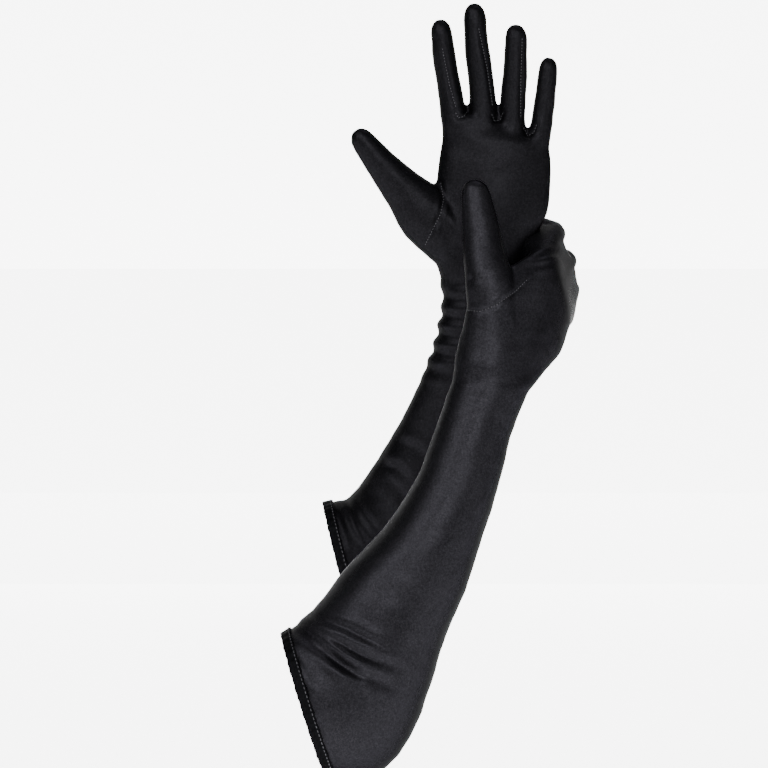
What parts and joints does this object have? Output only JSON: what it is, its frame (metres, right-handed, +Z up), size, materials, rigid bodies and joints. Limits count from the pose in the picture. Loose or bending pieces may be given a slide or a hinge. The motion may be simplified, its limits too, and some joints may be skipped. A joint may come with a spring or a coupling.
{
  "type": "opera gloves",
  "caption": "Long stretch-satin opera gloves worn to above the elbow, one hand open and the other closed round its wrist, with bending fingers.",
  "frame": {"origin": "centre of the pair's box, at rest", "axes": "+Z up along the raised left hand, -Y out of the left palm towards the viewer, +X from the arm openings towards the right knuckles"},
  "size_m": [0.2056, 0.2245, 0.5278],
  "materials": {
    "black_satin": "stretch satin, black with a soft sheen",
    "fourchette_satin": "the same satin, cut as strips between the fingers",
    "turned_hem": "the same satin, turned over and stitched",
    "stitching_thread": "black polyester thread"
  },
  "bodies": {
    "left_hand_and_forearm": {"left_forearm_sleeve": "black_satin", "left_palm_and_back": "black_satin", "left_thumb": "black_satin", "left_thumb_seam": "stitching_thread"},
    "left_elbow_end": {"left_upper_sleeve": "black_satin", "left_hem": "turned_hem", "left_hem_stitches": "stitching_thread"},
    "left_index_stall": {"left_index_finger": "black_satin", "left_index_fourchette_by_middle": "fourchette_satin"},
    "left_middle_stall": {"left_middle_finger": "black_satin", "left_middle_fourchette_by_index": "fourchette_satin", "left_middle_fourchette_by_ring": "fourchette_satin"},
    "left_ring_stall": {"left_ring_finger": "black_satin", "left_ring_fourchette_by_middle": "fourchette_satin", "left_ring_fourchette_by_little": "fourchette_satin"},
    "left_little_stall": {"left_little_finger": "black_satin", "left_little_fourchette_by_ring": "fourchette_satin"},
    "right_hand_and_forearm": {"right_forearm_sleeve": "black_satin", "right_palm_and_back": "black_satin", "right_thumb": "black_satin", "right_thumb_seam": "stitching_thread"},
    "right_elbow_end": {"right_upper_sleeve": "black_satin", "right_hem": "turned_hem", "right_hem_stitches": "stitching_thread"},
    "right_index_stall": {"right_index_finger": "black_satin", "right_index_fourchette_by_middle": "fourchette_satin"},
    "right_middle_stall": {"right_middle_finger": "black_satin", "right_middle_fourchette_by_index": "fourchette_satin", "right_middle_fourchette_by_ring": "fourchette_satin"},
    "right_ring_stall": {"right_ring_finger": "black_satin", "right_ring_fourchette_by_middle": "fourchette_satin", "right_ring_fourchette_by_little": "fourchette_satin"},
    "right_little_stall": {"right_little_finger": "black_satin", "right_little_fourchette_by_ring": "fourchette_satin"}
  },
  "joints": [
    {"name": "left_elbow_straighten", "type": "hinge", "parent": "left_hand_and_forearm", "child": "left_elbow_end", "pos_m": [-0.01957, 0.0689, -0.15773], "axis": [0, -1, 0], "range_deg": [0, 35]},
    {"name": "right_elbow_straighten", "type": "hinge", "parent": "right_hand_and_forearm", "child": "right_elbow_end", "pos_m": [-0.01644, -0.0691, -0.23476], "axis": [0, -1, 0], "range_deg": [0, 35]},
    {"name": "left_index_bend", "type": "hinge", "parent": "left_hand_and_forearm", "child": "left_index_stall", "pos_m": [0.016, -0.0169, 0.17249], "axis": [1, 0, 0], "range_deg": [0, 70]},
    {"name": "left_middle_bend", "type": "hinge", "parent": "left_hand_and_forearm", "child": "left_middle_stall", "pos_m": [0.0352, -0.0169, 0.17076], "axis": [1, 0, 0], "range_deg": [0, 70]},
    {"name": "left_ring_bend", "type": "hinge", "parent": "left_hand_and_forearm", "child": "left_ring_stall", "pos_m": [0.0542, -0.0169, 0.16905], "axis": [1, 0, 0], "range_deg": [0, 70]},
    {"name": "left_little_bend", "type": "hinge", "parent": "left_hand_and_forearm", "child": "left_little_stall", "pos_m": [0.0726, -0.0169, 0.1674], "axis": [1, 0, 0], "range_deg": [0, 70]},
    {"name": "right_glove_slide_off", "type": "slide", "parent": "left_hand_and_forearm", "child": "right_hand_and_forearm", "axis": [1, 0, 0], "range_m": [0, 0.12]},
    {"name": "right_index_open", "type": "hinge", "parent": "right_hand_and_forearm", "child": "right_index_stall", "pos_m": [0.08296, -0.0378, 0.08605], "axis": [0.3004, 0.4105, -0.861], "range_deg": [0, 22]},
    {"name": "right_middle_open", "type": "hinge", "parent": "right_hand_and_forearm", "child": "right_middle_stall", "pos_m": [0.08804, -0.03087, 0.0715], "axis": [0.3004, 0.4105, -0.861], "range_deg": [0, 22]},
    {"name": "right_ring_open", "type": "hinge", "parent": "right_hand_and_forearm", "child": "right_ring_stall", "pos_m": [0.09311, -0.02393, 0.05695], "axis": [0.3004, 0.4105, -0.861], "range_deg": [0, 22]},
    {"name": "right_little_open", "type": "hinge", "parent": "right_hand_and_forearm", "child": "right_little_stall", "pos_m": [0.09798, -0.01728, 0.043], "axis": [0.3004, 0.4105, -0.861], "range_deg": [0, 22]}
  ],
  "couplings": [
    {"joint": "right_middle_open", "follows": "right_index_open", "ratio": 1},
    {"joint": "right_ring_open", "follows": "right_index_open", "ratio": 1},
    {"joint": "right_little_open", "follows": "right_index_open", "ratio": 1}
  ]
}
